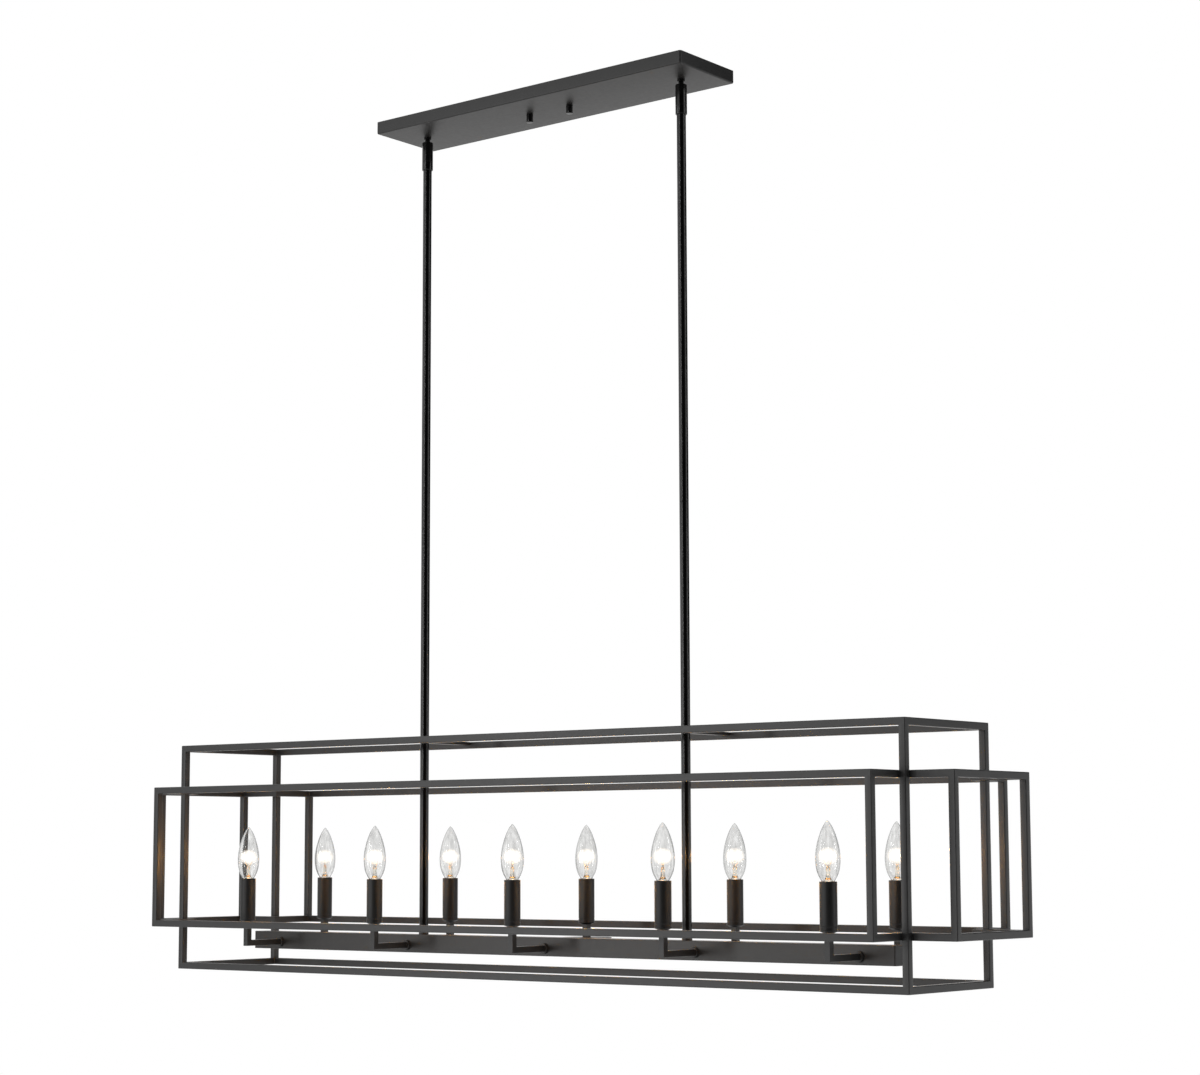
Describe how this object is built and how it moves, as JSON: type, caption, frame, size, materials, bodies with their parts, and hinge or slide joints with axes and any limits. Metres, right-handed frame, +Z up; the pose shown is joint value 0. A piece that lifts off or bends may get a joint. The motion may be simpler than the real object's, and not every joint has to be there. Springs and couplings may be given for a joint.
{
  "type": "linear island pendant",
  "caption": "Linear island pendant: nested open frames of square tube around candle bulbs on a wiring channel, hung by two sectional rods from a long canopy.",
  "frame": {"origin": "centre of the canopy at the ceiling plane, on the crossbar's top face", "axes": "+Z points up at the ceiling, +X runs along the fixture, +Y across it; it hangs down -Z"},
  "size_m": [1.392, 0.324, 1.2359],
  "materials": {
    "black_powder_coat": "matte black powder coat on steel",
    "sleeve_black": "satin black candle sleeve",
    "plated_steel": "zinc plated hardware",
    "green_screw": "green ground screw",
    "connector_plastic": "moulded wire connector",
    "wire_insulation": "wire insulation",
    "socket_plastic": "phenolic lamp socket",
    "bulb_glass": "clear torpedo bulb on a small screw base"
  },
  "bodies": {
    "canopy": {"canopy_pan": "black_powder_coat", "mounting_crossbar": "plated_steel", "crossbar_studs": "plated_steel", "ground_screw": "green_screw", "swivel_stem_left": "black_powder_coat", "swivel_stem_right": "black_powder_coat", "stem_washers": "plated_steel", "stem_nuts": "plated_steel", "wire_connectors": "connector_plastic", "canopy_leads": "wire_insulation"},
    "knob_left": {"knob_left": "black_powder_coat"},
    "knob_right": {"knob_right": "black_powder_coat"},
    "pendant": {"arm_collars": "black_powder_coat", "arm_fasteners": "plated_steel", "arm_front_1": "black_powder_coat", "arm_front_2": "black_powder_coat", "arm_front_3": "black_powder_coat", "arm_front_4": "black_powder_coat", "arm_front_5": "black_powder_coat", "arm_rear_1": "black_powder_coat", "arm_rear_2": "black_powder_coat", "arm_rear_3": "black_powder_coat", "arm_rear_4": "black_powder_coat", "arm_rear_5": "black_powder_coat", "band_bottom_rails": "black_powder_coat", "band_posts": "black_powder_coat", "band_top_rails": "black_powder_coat", "box_bottom_rails": "black_powder_coat", "box_posts": "black_powder_coat", "box_top_rails": "black_powder_coat", "candle_cups": "black_powder_coat", "candle_sleeves_front": "sleeve_black", "candle_sleeves_rear": "sleeve_black", "channel_end_caps": "black_powder_coat", "channel_nipples": "plated_steel", "coupling_ferrules": "black_powder_coat", "lamp_sockets": "socket_plastic", "riser_disc": "black_powder_coat", "rod_collars": "black_powder_coat", "rod_nipples": "plated_steel", "rods_12in": "black_powder_coat", "rods_3in": "black_powder_coat", "rods_6in": "black_powder_coat", "rods_lower": "black_powder_coat", "swivel_coupling_left": "black_powder_coat", "swivel_coupling_right": "black_powder_coat", "top_straps": "black_powder_coat", "wire_harness": "wire_insulation", "wiring_channel": "black_powder_coat"},
    "bulb_front_1": {"bulb_front_1": "bulb_glass"},
    "bulb_front_2": {"bulb_front_2": "bulb_glass"},
    "bulb_front_3": {"bulb_front_3": "bulb_glass"},
    "bulb_front_4": {"bulb_front_4": "bulb_glass"},
    "bulb_front_5": {"bulb_front_5": "bulb_glass"},
    "bulb_rear_1": {"bulb_rear_1": "bulb_glass"},
    "bulb_rear_2": {"bulb_rear_2": "bulb_glass"},
    "bulb_rear_3": {"bulb_rear_3": "bulb_glass"},
    "bulb_rear_4": {"bulb_rear_4": "bulb_glass"},
    "bulb_rear_5": {"bulb_rear_5": "bulb_glass"}
  },
  "joints": [
    {"name": "pendant_swing", "type": "hinge", "parent": "canopy", "child": "pendant", "pos_m": [0, 0, -0.031], "axis": [1, 0, 0], "range_deg": [-20, 20]},
    {"name": "knob_left_spin", "type": "hinge", "parent": "canopy", "child": "knob_left", "pos_m": [-0.0365, 0, -0.024], "axis": [0, 0, 1], "continuous": true},
    {"name": "knob_right_spin", "type": "hinge", "parent": "canopy", "child": "knob_right", "pos_m": [0.0365, 0, -0.024], "axis": [0, 0, 1], "continuous": true},
    {"name": "bulb_front_1_lift", "type": "slide", "parent": "pendant", "child": "bulb_front_1", "axis": [0, 0, 1], "range_m": [0, 0.03]},
    {"name": "bulb_front_2_lift", "type": "slide", "parent": "pendant", "child": "bulb_front_2", "axis": [0, 0, 1], "range_m": [0, 0.03]},
    {"name": "bulb_front_3_lift", "type": "slide", "parent": "pendant", "child": "bulb_front_3", "axis": [0, 0, 1], "range_m": [0, 0.03]},
    {"name": "bulb_front_4_lift", "type": "slide", "parent": "pendant", "child": "bulb_front_4", "axis": [0, 0, 1], "range_m": [0, 0.03]},
    {"name": "bulb_front_5_lift", "type": "slide", "parent": "pendant", "child": "bulb_front_5", "axis": [0, 0, 1], "range_m": [0, 0.03]},
    {"name": "bulb_rear_1_lift", "type": "slide", "parent": "pendant", "child": "bulb_rear_1", "axis": [0, 0, 1], "range_m": [0, 0.03]},
    {"name": "bulb_rear_2_lift", "type": "slide", "parent": "pendant", "child": "bulb_rear_2", "axis": [0, 0, 1], "range_m": [0, 0.03]},
    {"name": "bulb_rear_3_lift", "type": "slide", "parent": "pendant", "child": "bulb_rear_3", "axis": [0, 0, 1], "range_m": [0, 0.03]},
    {"name": "bulb_rear_4_lift", "type": "slide", "parent": "pendant", "child": "bulb_rear_4", "axis": [0, 0, 1], "range_m": [0, 0.03]},
    {"name": "bulb_rear_5_lift", "type": "slide", "parent": "pendant", "child": "bulb_rear_5", "axis": [0, 0, 1], "range_m": [0, 0.03]}
  ]
}
